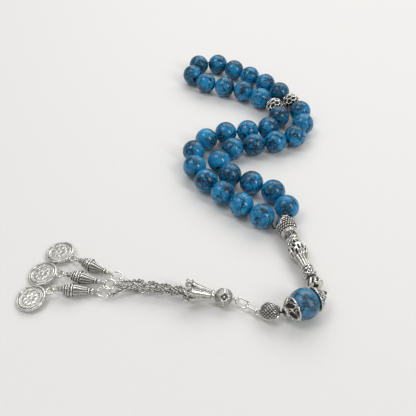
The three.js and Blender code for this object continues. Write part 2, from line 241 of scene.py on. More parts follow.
def turquoise(name, paleness):
    """Dyed stone with its web of veins; paleness takes it from strong blue at 0 to grey blue at 1."""
    finish = Finish(name)
    place = finish.place()
    drift = finish.noise(place, 0.35, 3.0, "Color")
    bent = place + drift * 3.0

    def web(per_mm, width, shift):
        """Veins along the edges of cells, thicker where the stone's grain swells."""
        edge = finish.node("ShaderNodeTexVoronoi", {"feature": "DISTANCE_TO_EDGE"},
                           {"Vector": bent + shift, "Scale": per_mm}, "Distance")
        swell = finish.noise(bent, 0.9, 2.0).between(0.3, 0.75) * width
        return 1 - (edge - swell * 0.5).between(0, width)

    broken = finish.noise(place + 17.0, 0.11, 1.0).between(0.48, 0.58)
    wide_veins = web(0.30, 0.075, 0.0) * finish.noise(place + 5.0, 0.12, 1.0).between(0.38, 0.47)
    fine_veins = web(0.58, 0.13, 9.0) * broken
    veins = wide_veins.at_least(fine_veins)
    shade = finish.noise(bent, 0.5, 3.0).between(0.3, 0.7)
    clear = finish.mix(shade, (0.006, 0.170, 0.37, 1), (0.012, 0.285, 0.54, 1))
    mottle = finish.noise(bent, 1.3, 2.0).between(0.3, 0.7)
    dull = finish.mix(mottle, (0.005, 0.070, 0.15, 1), (0.010, 0.21, 0.41, 1))
    body = finish.mix(paleness, finish.mix(broken * 0.85, clear, dull), (0.075, 0.21, 0.31, 1))
    matrix = finish.mix(paleness, (0.001, 0.010, 0.020, 1), (0.03, 0.05, 0.065, 1))
    colour = finish.mix(veins * 0.95, body, matrix)
    polish = finish.noise(place, 2.5, 2.0) * 0.08 + veins * 0.1 + (0.12 + paleness * 0.12)
    dip = {"Strength": 0.25, "Distance": 0.00005, "Height": 1 - veins}
    bump = finish.node("ShaderNodeBump", {}, dip)
    return finish.surface(Base_Color=colour, Roughness=polish, Normal=bump)


def lay_on_axis(joint):
    """The lay of a piece that turns about its own hole: local X along the hole, Z up."""
    along = Vector(joint["axis"]).normalized()
    across = Vector((0, 0, 1)).cross(along).normalized()
    return lay_at(joint["pos_m"], along, along.cross(across))


def lay_at(origin, along, face):
    x = Vector(along).normalized()
    y = Vector(face).cross(x).normalized()
    turn = Matrix((x, y, x.cross(y))).transposed()
    return Matrix.Translation(Vector(origin)) @ turn.to_4x4()


def piece(name, lay, points, faces, finish, slot, body, stands_for, shade=None):
    """A visible piece from points in millimetres in its own lay; shade darkens each point: patina in hollows,
    painted shade in openings, bores and link insides.
    """
    turn = np.array(lay.to_3x3())
    points = np.asarray(points).reshape(-1, 3) * MM @ turn.T + np.array(lay.translation)
    mesh = bpy.data.meshes.new(name)
    mesh.from_pydata(points.tolist(), [], [list(face) for face in faces])
    mesh.shade_smooth()
    if shade is not None:
        patina_and_shade = mesh.attributes.new("patina_and_shade", "FLOAT", "POINT")
        patina_and_shade.data.foreach_set("value", np.clip(np.ravel(shade), 0, 1).astype(np.float32))
    made = bpy.data.objects.new(name, mesh)
    bpy.context.scene.collection.objects.link(made)
    mesh.materials.append(finish)
    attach(made, body)
    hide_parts(*stands_for)
    return made


def grid_faces(rows, columns):
    """Quads over a grid of rows that each close on themselves."""
    row, column = np.meshgrid(np.arange(rows - 1), np.arange(columns), indexing="ij")
    after = (column + 1) % columns
    near, far = row * columns, (row + 1) * columns
    return np.stack([near + column, near + after, far + after, far + column], axis=-1).reshape(-1, 4)


def end_faces(rows, columns):
    """The two flat ends of such a grid."""
    last = (rows - 1) * columns
    return [list(range(columns))[::-1], list(range(last, last + columns))]


def walk(outline, pitch):
    """Points at about one pitch along an outline of corners, with every corner kept."""
    path = [np.array(outline[0], float)]
    for corner in outline[1:]:
        start, end = path[-1], np.array(corner, float)
        steps = max(1, round(float(np.linalg.norm(end - start)) / pitch))
        path += [start + (end - start) * (i + 1) / steps for i in range(steps)]
    return np.array(path)


def ball_outline(half_length, radius, bore, steps=36):
    """The section of a drilled ball, from one mouth of its hole to the other."""
    mouth = math.asin(bore / radius)
    turns = np.linspace(mouth, math.pi - mouth, steps)
    return [(-half_length * math.cos(turn), radius * math.sin(turn)) for turn in turns]


def turned(outline, pitch, around, relief=None, closed=True):
    """A turned body about X; relief gives the height added along the surface's normal and its shade."""
    path = walk(outline + outline[:1] if closed else outline, pitch)
    path = path[:-1] if closed else path
    ahead, behind = (np.roll(path, -1, 0), np.roll(path, 1, 0)) if closed else (path, path)
    slope = ahead - behind if closed else np.gradient(path, axis=0)
    normal = np.stack([-slope[:, 1], slope[:, 0]], axis=1)
    normal /= np.maximum(np.linalg.norm(normal, axis=1, keepdims=True), 1e-9)
    angle = np.linspace(0, 2 * math.pi, around, endpoint=False)[None, :]
    x, radius = path[:, :1], path[:, 1:]
    height, shade = relief(x, angle, radius) if relief else (0, 0)
    height, shade = (np.broadcast_to(value, (len(path), around)) for value in (height, shade))
    x = x + normal[:, :1] * height
    radius = np.maximum(radius + normal[:, 1:] * height, 0)
    points = np.stack([x, radius * np.sin(angle), radius * np.cos(angle)], axis=-1)
    faces = grid_faces(len(path) + closed, around) % (len(path) * around)
    ends = [] if closed else end_faces(len(path), around)
    return points, [list(face)[::-1] for face in faces.tolist() + ends], shade


blue_stone = turquoise("dyed_turquoise", 0.0)
bead = turned(ball_outline(BEAD_RADIUS, BEAD_RADIUS, BORE_RADIUS), STONE_PITCH, STONE_SIDES)
for name in sorted(name for name in frame["bodies"] if name.startswith("bead_")):
    piece(name + "_stone", lay_on_axis(joint_of[name]), *bead[:2], blue_stone, "turquoise", name, [name])

# ---------------------------------------------------------------------------------------------------------
# The two separators: hollow silver balls, cast as a lace of wire rings, that mark each eleven beads. Like all
# the silver they were darkened and then buffed, so that only the high spots are bright.

SEPARATOR_RADIUS = 4.0
LACE_ROWS = 5
LACE_COLUMNS = 8
LACE_MOUTH = 0.35
LACE_DEPTH = 0.9
LACE_WIRE = 0.12


def antique_silver(name, satin):
    """Silver that goes black where its shade is high: patina in hollows, and painted shade in openings and
    bores; satin is the roughness of its buffed high spots.
    """
    finish = Finish(name)
    place = finish.place()
    patina_and_shade = finish.node("ShaderNodeAttribute", {"attribute_name": "patina_and_shade"}, {}, "Fac")
    stain = finish.noise(place, 1.2, 4.0)
    # Painted shade and patina both come in through the shade attribute here.
    dark = (patina_and_shade + (stain - 0.5) * 0.5).between(0.2, 0.75)
    bright = finish.mix(stain.between(0.35, 0.7), (0.80, 0.78, 0.725, 1), (0.60, 0.58, 0.53, 1))
    colour = finish.mix(dark, bright, (0.03, 0.028, 0.025, 1))
    grain = finish.noise(place, 9.0, 3.0)
    rough = dark * 0.3 + grain * 0.1 + satin
    bump = finish.node("ShaderNodeBump", {}, {"Strength": 0.15, "Distance": 0.00003, "Height": grain})
    return finish.surface(Base_Color=colour, Metallic=1 - dark * 0.5, Roughness=rough, Normal=bump)


def step_up(low, high, value):
    share = np.clip((value - low) / (high - low), 0, 1)
    return share * share * (3 - 2 * share)


def hump(distance, radius):
    """A round hump that is 1 in its middle and 0 from its radius out."""
    return np.clip(1 - (distance / radius) ** 2, 0, 1)


def cell_distance(across, along):
    """How far a point lies from its cell's middle, in cells; every second row is set half a cell over."""
    row = np.floor(along)
    return np.hypot((across + 0.5 * (row % 2)) % 1 - 0.5, along % 1 - 0.5)


def pierced(x, angle, radius):
    """A lace of holes with a wire ring round each, between the two plain mouths of the ball."""
    turn = np.arctan2(radius, -x)
    rows = (turn - LACE_MOUTH) / (math.pi - 2 * LACE_MOUTH) * LACE_ROWS
    columns = angle / (2 * math.pi) * LACE_COLUMNS
    distance = cell_distance(columns, rows)
    holes = 1 - step_up(0.39, 0.47, distance)
    inside = step_up(0, 0.25, rows) * step_up(0, 0.25, LACE_ROWS - rows)
    ring = hump(distance - 0.52, 0.14)
    # The holes are sunk and painted black: painted shade of the hollow ball seen through them. Off the wire
    # rings the silver is darker with patina.
    return (ring * LACE_WIRE - holes * LACE_DEPTH) * inside, holes * inside + (1 - ring) * 0.4


silver = antique_silver("antique_silver", 0.15)
separator = turned(ball_outline(SEPARATOR_RADIUS, SEPARATOR_RADIUS, BORE_RADIUS), 0.16, 110, pierced)
for name in ("separator_1", "separator_2"):
    piece(name + "_lace", lay_on_axis(joint_of[name]), *separator[:2], silver, "antique_silver", name, [name],
          separator[2])

# ---------------------------------------------------------------------------------------------------------
# The leader: a hollow silver casting where both ends of the bead cord go in by two short collars and are
# knotted. Below its grained head come a fluted waist, a pierced bulb, twin rings, a drum and a scrolled foot.

LEADER_LENGTH = 33.4
LEADER_STEM_START = 13 * MM
LEADER_OUTLINE = [
    (0.5, 0.1), (0.4, 0.9), (0, 1.1), (0, 1.5), (0.5, 2.2), (1.2, 2.9), (1.9, 3.4), (2.6, 3.7), (3.8, 3.9),
    (5, 3.9), (6.3, 3.6), (7.4, 3.2), (7.5, 2.9), (7.7, 2.85), (7.9, 3.1), (8.3, 3.2), (8.6, 3.05),
    (8.7, 2.4), (10.3, 2.15), (10.6, 2.3), (10.8, 2.7), (11.2, 2.8), (11.5, 2.6), (11.6, 2.2),
    (12.4, 2.4), (13.4, 2.7), (15.2, 3.3), (17.0, 3.45), (18.4, 3.15), (19.6, 2.6), (22, 1.95),
    (24.3, 1.7), (24.7, 1.75), (24.8, 2.2), (25.2, 2.35), (25.5, 2.1), (25.8, 2.1), (26.1, 2.4),
    (26.5, 2.35), (26.7, 2.0), (27, 2.3), (28, 2.45), (29, 2.3), (29.3, 1.8), (30.2, 1.8), (30.6, 2.3),
    (31.6, 2.7), (32.8, 3.05), (LEADER_LENGTH, 2.9), (LEADER_LENGTH, 1.2), (32.4, 0.9), (32.2, 0.1),
]
HEAD_GRAINS = 22
GRAIN_PITCH = 0.98
WAIST_FLUTES = 22
BULB_SLOTS = 15
BULB_TIER = 3.1
NECK_LEAVES = 11
GROOVES_ROUND_RINGS = [(25.45, 25.85), (26.65, 26.95), (24.5, 24.75)]
DRUM_CIRCLES = 9
FOOT_SCROLLS = 9
COLLAR_LIP = [(0.8, 1.08), (0.86, 1.28), (0.95, 1.32), (1, 1.2), (1, 0.82), (0.6, 0.75)]
COLLARS = [((4.13, -0.48, -0.08), (3.23, -3.6, -1.0)), ((2.4, 0.1, 0.57), (0.97, 0.12, 3.53))]


def corners_of(node):
    return np.array([vertex.co for vertex in frame["nodes"][node].data.vertices])


def main_axes(points):
    """The middle of some points, and the directions they spread in, widest first."""
    middle = points.mean(0)
    return middle, np.linalg.svd(points - middle, full_matrices=False)[2]


def pointing(direction, towards):
    return direction if np.dot(direction, towards) > 0 else -direction


def wire(points, radius, sides=12, closed=False, lift=None):
    """A round wire along points; radius is one number or one for each point."""
    points = np.asarray(points, float)
    ahead = np.roll(points, -1, 0) - np.roll(points, 1, 0) if closed else np.gradient(points, axis=0)
    tangent = ahead / np.linalg.norm(ahead, axis=1, keepdims=True)
    normal = np.cross(tangent[0], [0.31, 0.52, 0.79])
    rings = []
    turn = np.linspace(0, 2 * math.pi, sides, endpoint=False)
    for i, way in enumerate(tangent):
        normal = normal - way * np.dot(normal, way)
        normal /= np.linalg.norm(normal)
        side = np.cross(way, normal)
        size = radius[i] if np.ndim(radius) else radius
        rings.append(points[i] + size * (np.outer(np.cos(turn), normal) + np.outer(np.sin(turn), side)))
    rows = len(points)
    made = np.concatenate(rings)
    if closed:
        start, last = rings[0], rings[-1]
        shift = int(np.argmin([np.linalg.norm(np.roll(start, -k, 0) - last) for k in range(sides)]))
        seam = np.roll(np.arange(sides), -shift)
        rim = (rows - 1) * sides + np.arange(sides)
        end = np.stack([rim, np.roll(rim, -1), np.roll(seam, -1), seam], axis=1)
        faces = np.concatenate([grid_faces(rows, sides), end])
        return made, faces.tolist()
    return made, grid_faces(rows, sides).tolist() + end_faces(rows, sides)


def ring_path(radius, centre=(0, 0, 0), straight=0.0, steps=40, upright=False):
    """A ring's centre line in XY, or upright in XZ, pulled out along X by a straight length."""
    turn = np.linspace(0, 2 * math.pi, steps, endpoint=False) + math.pi / steps
    across = radius * np.sin(turn)
    x = radius * np.cos(turn) + np.sign(np.cos(turn)) * straight / 2
    flat = np.zeros(steps)
    columns = [x, flat, across] if upright else [x, across, flat]
    return np.stack(columns, axis=1) + np.array(centre)


def together(*parts):
    """Several (points, faces, shade) parts as one mesh."""
    points, faces, shades, count = [], [], [], 0
    for part in parts:
        these = np.asarray(part[0]).reshape(-1, 3)
        shade = np.ravel(part[2]) if len(part) > 2 else np.zeros(len(these))
        points.append(these)
        shades.append(shade)
        faces += [[count + i for i in face] for face in part[1]]
        count += len(these)
    return np.concatenate(points), faces, np.concatenate(shades)


def band(value, low, high, edge=0.12):
    return step_up(low - edge, low + edge, value) * (1 - step_up(high - edge, high + edge, value))


def leader_relief(x, angle, radius):
    """The casting's ornament, zone by zone from the head down; each zone adds to the height and the shade."""
    turns = angle / (2 * math.pi)
    side = (angle + math.pi) % (2 * math.pi) - math.pi
    outside = step_up(0.9, 1.3, radius)

    smooth_strap = band(side + 0.28 * (x - 2.6), -1.35, -0.25, 0.06) * band(x, 0.9, 4.2, 0.4)
    head = band(x, 0.5, 7.3) * (1 - smooth_strap)
    grains = hump(cell_distance(turns * HEAD_GRAINS, x / GRAIN_PITCH), 0.46)
    height = head * (grains * 0.32 - 0.16) + smooth_strap * 0.2
    shade = head * (1.1 - grains * 1.35)

    waist = band(x, 8.75, 10.5)
    flutes = np.abs(np.sin(math.pi * turns * WAIST_FLUTES))
    height = height + waist * (flutes * 0.22 - 0.12)
    shade = shade + waist * (1.0 - flutes * 0.5)

    bulb = band(x, 12.0, 19.4, 0.3)
    column = turns * BULB_SLOTS + 0.3 * np.sin((x - 12) * 0.9)
    tier = (x - 12.4) / BULB_TIER + 0.5 * (np.floor(column) % 2)
    lace = np.abs(np.sin(math.pi * column)) * np.abs(np.sin(math.pi * tier))
    # The bulb's openings are sunk and painted black: painted shade of the hollow casting seen through them.
    holes = step_up(0.38, 0.58, lace)
    height = height + bulb * (0.16 - holes * 0.7)
    shade = shade + bulb * (holes * 1.1 + 0.1)

    neck = band(x, 19.7, 24.4, 0.2)
    leaves = np.abs(np.sin(math.pi * turns * NECK_LEAVES))
    height = height + neck * (leaves * 0.26 - 0.16)
    shade = shade + neck * (1.0 - leaves * 1.2)
    for low, high in GROOVES_ROUND_RINGS:
        shade = shade + band(x, low, high, 0.1)

    drum = band(x, 27.05, 29.0)
    circle = np.hypot((turns * DRUM_CIRCLES) % 1 - 0.5, (x - 28.05) / 2.0) - 0.33
    height = height + drum * (0.2 * hump(circle, 0.12) - 0.1)
    shade = shade + drum * (0.8 - 1.1 * hump(circle, 0.16))
    shade = shade + band(x, 29.25, 30.3) * 0.9

    foot = band(x, 30.5, 33.3) * outside
    scroll = np.sin(2 * math.pi * (turns * FOOT_SCROLLS + 0.2 * (x - 30.5)))
    height = height + foot * (scroll * 0.2 - 0.05)
    shade = shade + foot * (0.35 - scroll * 0.7)
    # Inside the bore's mouths the casting is painted dark: painted shade in the hole.
    return height * outside, shade * outside + (1 - outside) * 0.9


def leader_lay():
    """The lay of the whole casting, by the straight stem that is left when the head is taken away."""
    corners = corners_of("leader")
    head = corners[corners[:, 1].argmax()]
    stem = corners[np.linalg.norm(corners - head, axis=1) > LEADER_STEM_START]
    middle, axes = main_axes(stem)
    along = pointing(axes[0], (0, -1, 0))
    foot = ((corners - middle) @ along).max()
    return lay_at(middle + along * (foot - LEADER_LENGTH * MM), along, (0, 0, 1))


# The collar's inner wall is painted dark: painted shade inside the tube.
def painted_shade_in_bore(x, angle, radius):
    return 0, 1 - step_up(0.8, 0.95, radius)


def collar(inner, mouth):
    """A short lipped tube that the cord goes in by."""
    along = np.array(mouth) - inner
    length = np.linalg.norm(along)
    outline = [(0, 1.05)] + [(share * length, radius) for share, radius in COLLAR_LIP]
    points, faces, shade = turned(outline, 0.2, 32, painted_shade_in_bore, closed=False)
    turn = np.array(lay_at((0, 0, 0), along, (1, 0, 0)).to_3x3())
    return points.reshape(-1, 3) @ turn.T + inner, faces, shade


leader_body = turned(LEADER_OUTLINE, 0.13, 150, leader_relief, closed=False)
leader = together(leader_body, *[collar(*ends) for ends in COLLARS])
piece("leader_casting", leader_lay(), *leader[:2], silver, "antique_silver", "root", ["leader"], leader[2])

# ---------------------------------------------------------------------------------------------------------
# The tassel's ball: a larger bead of a paler, greyer piece of the same stone, between two cast silver cups.
# The cups' walls are scrolls that lie round each other, bright along their edges and nearly black inside.

TASSEL_BALL_RADIUS = 5.5
SCROLLS = 5
CAP_OUTLINE = [
    (5.62, 0.9), (5.62, 1.2), (5.37, 2.06), (4.93, 2.96), (4.34, 3.77), (4.2, 4.2), (4.3, 4.45), (4.9, 4.15),
    (5.6, 3.7), (6.2, 3.2), (6.6, 2.8), (7.1, 2.1), (7.3, 1.8), (7.5, 1.65), (7.7, 1.75), (8, 1.6), (8, 0.9),
]


def scrolls(x, angle, radius):
    """Raised edges of scrolls over the cup's wall; the seat on the ball and the rim stay plain."""
    turns = angle / (2 * math.pi)
    wall = step_up(1.9, 2.4, radius) * step_up(6.02, 6.12, np.hypot(x, radius))
    swirl = 2 * math.pi * turns * SCROLLS + 1.5 * x
    loops = np.cos(swirl) + 0.85 * np.cos(2 * math.pi * (x - 4.9) / 3.0)
    edges = np.maximum(hump(loops, 0.32), 0.8 * hump(loops - 1.1, 0.26))
    rim = 1 - step_up(4.55, 4.8, x)
    raised = np.maximum(edges, rim)
    return wall * (raised * 0.5 - 0.28), wall * (1.1 - raised * 1.4) + (1 - wall) * 0.4


ball_centre = np.array(joint_of["tassel_ball"]["pos_m"])
ball = turned(ball_outline(TASSEL_BALL_RADIUS, TASSEL_BALL_RADIUS, BORE_RADIUS), STONE_PITCH, STONE_SIDES)
piece("tassel_ball_stone", lay_on_axis(joint_of["tassel_ball"]), *ball[:2], turquoise("pale_turquoise", 0.6),
      "turquoise", "tassel_ball", ["tassel_ball"])
cup = turned(CAP_OUTLINE, 0.13, 140, scrolls)
for name in ("ball_cap_lower", "ball_cap_upper"):
    outward = pointing(np.array(joint_of["tassel_ball"]["axis"]), corners_of(name).mean(0) - ball_centre)
    lay = lay_at(ball_centre, outward, (0, 0, 1))
    piece(name + "_cup", lay, *cup[:2], silver, "antique_silver", name, [name], cup[2])

# ---------------------------------------------------------------------------------------------------------
# The oval bead: a hollow silver bead that turns on the cord between the lower cup and the crimp. It is cast
# with a woven face between two bundles of long smooth ribs.

OVAL_HALF_LENGTH = 3.5
OVAL_RADIUS = 3.2
WEAVE = 8.0
RIBS = (0.66, 0.98)
RIB_PITCH = 0.107


def woven(x, angle, radius):
    turns = angle / (2 * math.pi)
    lengthwise = np.arctan2(x, radius) * WEAVE
    round_it = turns * 2 * math.pi * WEAVE
    over, under = np.sin(lengthwise + round_it), np.sin(lengthwise - round_it)
    weave = np.maximum(hump(over, 0.62), hump(under, 0.62))
    panel = (turns * 2 + 0.16) % 1
    ribs = band(panel, *RIBS, 0.02)
    rib = np.abs(np.sin(math.pi * (panel - RIBS[0]) / RIB_PITCH))
    outside = step_up(1.0, 1.6, radius)
    height = outside * ((1 - ribs) * (weave * 0.2 - 0.14) + ribs * (rib * 0.24 - 0.1))
    shade = outside * ((1 - ribs) * (1.3 - weave * 1.15) + ribs * (0.9 - rib * 1.1))
    return height, shade


oval = turned(ball_outline(OVAL_HALF_LENGTH, OVAL_RADIUS, BORE_RADIUS), 0.11, 160, woven)
piece("oval_bead_woven", lay_on_axis(joint_of["oval_bead"]), *oval[:2], silver, "antique_silver",
      "oval_bead", ["oval_bead"], oval[2])

# ---------------------------------------------------------------------------------------------------------
# The crimp and the two links: the cord's end is squeezed in a short ribbed tube with an eye, and two oval
# links of drawn wire join it to the tassel.

WIRE = 0.35
LINK_RADIUS = 1.35
LINK_STRAIGHT = 1.9
EYE_RADIUS = 0.9
CRIMP_RADIUS = 0.72
CRIMP_RIB_HEIGHT = 0.1
CRIMP_RIB_RATE = 30
CRIMP_MOUTH = 0.45


def drawn_silver():
    """Plain silver wire with fine drawing scratches, dull and dark where its shade is high: painted shade
    inside the chain links, and darker grooves on the crimp.
    """
    finish = Finish("drawn_silver_wire")
    place = finish.place()
    stain = finish.noise(place, 1.0, 3.0)
    patina_and_shade = finish.node("ShaderNodeAttribute", {"attribute_name": "patina_and_shade"}, {}, "Fac")
    dark = (stain.between(0.45, 0.75) * 0.3 + patina_and_shade).at_most(1.0)
    colour = finish.mix(dark, (0.82, 0.80, 0.755, 1), (0.07, 0.062, 0.05, 1))
    scratches = finish.noise(place, 14.0, 2.0)
    bump = finish.node("ShaderNodeBump", {}, {"Strength": 0.2, "Distance": 0.00002, "Height": scratches})
    return finish.surface(Base_Color=colour, Metallic=1.0, Roughness=scratches * 0.12 + 0.14, Normal=bump)


bright_wire = drawn_silver()
link_axes = {}
links_run = corners_of("link_2").mean(0) - corners_of("link_1").mean(0)
for name in ("link_1", "link_2"):
    middle, axes = main_axes(corners_of(name))
    link_axes[name] = (pointing(axes[0], links_run), axes[2])
    link = wire(ring_path(LINK_RADIUS, straight=LINK_STRAIGHT, steps=48), WIRE, 14, closed=True)
    lay = lay_at(middle, *link_axes[name])
    piece(name + "_wire", lay, *link, bright_wire, "antique_silver", name, [name])

run = link_axes["link_1"][0]
crimp_eye = np.array(joint_of["link_2"]["pos_m"]) + run * EYE_RADIUS * MM
oval_joint = joint_of["oval_bead"]
oval_away = pointing(np.array(oval_joint["axis"]), -links_run)
cord_end = np.array(oval_joint["pos_m"]) + oval_away * (OVAL_HALF_LENGTH + 0.5) * MM
crimp_lay = lay_at(crimp_eye, run, link_axes["link_1"][1])
to_cord = (np.linalg.inv(np.array(crimp_lay)) @ np.append(cord_end, 1))[:3] / MM
crimp_length = np.linalg.norm(to_cord)
shares = np.linspace(EYE_RADIUS / crimp_length, 1, 26)
squeeze = np.sin(shares * CRIMP_RIB_RATE)
tube_radius = CRIMP_RADIUS + CRIMP_RIB_HEIGHT * squeeze
tube_radius[0] = tube_radius[-1] = CRIMP_MOUTH
crimp_tube = wire(np.outer(shares, to_cord), tube_radius, 16)
crimp_eye_wire = wire(ring_path(EYE_RADIUS), WIRE, 12, closed=True)
crimp = together(crimp_eye_wire, (*crimp_tube, np.repeat(0.5 - 0.5 * squeeze, 16)))
piece("crimp_and_eye", crimp_lay, *crimp[:2], bright_wire, "antique_silver", "root", ["cord_crimp"],
      crimp[2])

# ---------------------------------------------------------------------------------------------------------
# The tassel's head: an eye pin of drawn wire runs through a silver ball with four sunk diamonds and through
# the cone. Its two eyes hold the last link and the chains.

HEAD_RADIUS = 3.25
PIN_REACH = 4.5
PIN_INNER = 6.2
PIN_BORE = 0.5
DIAMONDS = 4
QUARTER_TURN = 1.57
HEAD_BALL_GRAINS = 28
head_lay = lay_on_axis(joint_of["tassel_head_ball"])
head_axis = np.array(joint_of["tassel_head_ball"]["axis"])
head_centre = np.array(joint_of["tassel_head_ball"]["pos_m"])
into_head = np.linalg.inv(np.array(head_lay))[:3, :3]


def pin_eye(x, plane_along, plane_normal):
    """A round eye at one end of the pin, turned to suit what hangs in it."""
    turn = np.array(lay_at((0, 0, 0), into_head @ plane_along, into_head @ plane_normal).to_3x3())
    path = ring_path(EYE_RADIUS) @ turn.T + np.array((x, 0, 0))
    return wire(path, WIRE, 12, closed=True)


sideways = np.cross((0, 0, 1), head_axis)
shank = wire([(x, 0, 0) for x in np.linspace(-HEAD_RADIUS - 0.5, PIN_INNER - EYE_RADIUS, 12)], WIRE, 12)
outer_eye = pin_eye(-PIN_REACH, run, link_axes["link_2"][1])
pin = together(shank, outer_eye, pin_eye(PIN_INNER, head_axis, sideways))
piece("tassel_eye_pin", head_lay, *pin[:2], bright_wire, "antique_silver", "tassel_pin", ["tassel_pin"],
      pin[2])


def diamonds(x, angle, radius):
    """Four sunk diamonds with a raised edge and a boss in each, and rows of grains between them."""
    turns = angle / (2 * math.pi)
    along = np.arctan2(x, radius)
    across = ((turns * DIAMONDS + 0.1) % 1 - 0.5) * QUARTER_TURN
    kite = np.abs(along) * 1.05 + np.abs(across)
    sunk = 1 - step_up(0.40, 0.52, kite)
    rim = hump(kite - 0.6, 0.1)
    grains = hump(cell_distance(turns * HEAD_BALL_GRAINS, along * 5.2), 0.42) * (1 - sunk) * (1 - rim)
    boss = hump(np.hypot(along, across), 0.17)
    outside = step_up(0.9, 1.5, radius)
    height = outside * (rim * 0.16 + grains * 0.12 - sunk * 0.32 + boss * 0.35 - 0.06)
    shade = outside * (0.65 * sunk * (1 - boss) + (1 - sunk) * (0.6 - grains * 0.8 - rim * 0.7))
    return height, shade


ball = turned(ball_outline(HEAD_RADIUS, HEAD_RADIUS, PIN_BORE), 0.12, 140, diamonds)
piece("head_ball_diamonds", head_lay, *ball[:2], silver, "antique_silver", "tassel_head_ball",
      ["tassel_head_ball"], ball[2])

# ---------------------------------------------------------------------------------------------------------
# The flower cone: a silver collar and five long petals that spread over the chains' upper ends, threaded on
# the pin. Each petal is a smooth leaf with a twisted wire along its edges and a curled ring at its tip.

CONE_START = HEAD_RADIUS + 0.2
CONE_LENGTH = 9.4
PETALS = 5
PETAL_START = 1.3
PETAL_LENGTH = CONE_LENGTH - 2.4
CURLS = [(1.25, 0.27), (0.62, 0.22)]
COLLAR_OUTLINE = [
    (0, 0.5), (0, 1.7), (0.2, 1.95), (0.6, 2.05), (0.95, 1.9), (1.1, 1.6), (1.35, 1.75), (1.6, 1.6),
    (2.0, 1.5), (2.0, 1.2), (0.6, 1.0), (0.4, 0.5),
]


def cone_radius(x):
    return np.interp(x, [0, 1.4, 4, 7.2, CONE_LENGTH], [1.55, 1.65, 2.35, 3.2, 3.8])


def on_cone(x, angle, lift=0.0):
    radius = cone_radius(x) + lift
    return np.stack([CONE_START + x, radius * np.sin(angle), radius * np.cos(angle)], axis=-1)


def petal_width(share):
    """Half of a petal's width as a share of its place, which narrows a little towards the tip."""
    return 0.95 - 0.24 * share ** 3


def petal(number):
    middle = 2 * math.pi * (number + 0.5) / PETALS
    share = np.linspace(0, 1, 80)[:, None]
    width = math.pi / PETALS * petal_width(share)
    across = np.linspace(-1, 1, 15)[None, :]
    x = PETAL_START + PETAL_LENGTH * share + 0 * across
    angle = middle + width * across
    twist = np.sin(60 * share + 4 * np.abs(across)) * step_up(0.45, 0.6, np.abs(across))
    bow = 0.30 * (1 - across ** 2) - 0.05 + 0.06 * twist
    outer = on_cone(x, angle, bow)
    inner = on_cone(x, angle, bow - 0.35)
    rows, columns = x.shape
    loop = np.concatenate([outer, inner[:, ::-1]], axis=1)
    shade = np.concatenate([0.12 - 0.35 * twist + 0.3 * np.abs(across) ** 6, 0.8 + 0 * x], axis=1)
    faces = grid_faces(rows, 2 * columns).tolist() + end_faces(rows, 2 * columns)
    leaf = (loop, [face[::-1] for face in faces], shade)
    parts = [leaf]
    for edge in (-1, 1):
        line = np.linspace(0, 1, 90)
        edge_angle = middle + edge * math.pi / PETALS * petal_width(line)
        path = on_cone(PETAL_START + PETAL_LENGTH * line, edge_angle, 0.1)
        rope = 0.24 * (1 + 0.28 * np.sin(line * 110))
        parts.append((*wire(path, rope, 8), np.repeat(0.35 - 0.5 * np.sin(line * 110), 8)))
    tip = on_cone(CONE_LENGTH - 0.3, middle, 0.15)
    outward = on_cone(CONE_LENGTH, middle, 1.0) - on_cone(CONE_LENGTH, middle)
    turn = np.array(lay_at((0, 0, 0), (1, 0, 0), outward).to_3x3())
    for radius, thick in CURLS:
        parts.append(wire(ring_path(radius, steps=36) @ turn.T + tip, thick, 10, closed=True))
    return parts


def dark_neck(x, angle, radius):
    return 0.0, step_up(CONE_START + 0.9, CONE_START + 1.15, x) * 0.5


cone_collar = turned([(CONE_START + x, radius) for x, radius in COLLAR_OUTLINE], 0.15, 60, dark_neck)
cone = together(cone_collar, *[part for number in range(PETALS) for part in petal(number)])
piece("flower_cone_petals", head_lay, *cone[:2], silver, "antique_silver", "flower_cone", ["flower_cone"],
      cone[2])

# ---------------------------------------------------------------------------------------------------------
# The three chains: fine cable chain of round wire, each link turned a quarter from the last. They hang from
# the pin's inner eye, twist round each other and end in a link that holds a jump ring.

CHAIN_WIRE = 0.24
CHAIN_PITCH = 1.02
CHAIN_LINK_RADIUS = 0.66
CHAIN_LINK_STRAIGHT = 0.5
CHAIN_TURNS = 1.6
CHAIN_PHASE = 0.9
CHAIN_SPREAD = (0.86, 1.75)
CHAIN_START = 1.6
END_EYE_RADIUS = 0.85
END_EYE_WIRE = 0.25
CHAIN_RUN = np.array((-25.54, 4.96, -1.44))
RING_RADIUS = 2.2
RING_WIRE = 0.325
RING_PLAY = 0.12


def ring_way(joint):
    """Which way a piece hangs away from its hinge: level, square to the hinge's axis."""
    return np.cross((0, 0, 1), np.array(joint["axis"]))


def smooth_path(points, pitch):
    """Points at one pitch along a smooth curve through the given ones."""
    points = np.array(points, float)
    padded = np.concatenate([2 * points[:1] - points[1:2], points, 2 * points[-1:] - points[-2:-1]])
    fine = []
    for before, start, end, after in zip(padded[:-3], padded[1:-2], padded[2:-1], padded[3:]):
        t = np.linspace(0, 1, 20, endpoint=False)[:, None]
        slope, bend = end - before, 2 * before - 5 * start + 4 * end - after
        twist = 3 * start - before - 3 * end + after
        fine.append(0.5 * (2 * start + slope * t + bend * t ** 2 + twist * t ** 3))
    fine = np.concatenate(fine + [points[-1:]])
    reach = np.concatenate([[0], np.cumsum(np.linalg.norm(np.diff(fine, axis=0), axis=1))])
    count = max(2, round(reach[-1] / pitch) + 1)
    marks = np.linspace(0, reach[-1], count)
    return np.stack([np.interp(marks, reach, fine[:, k]) for k in range(3)], axis=1)


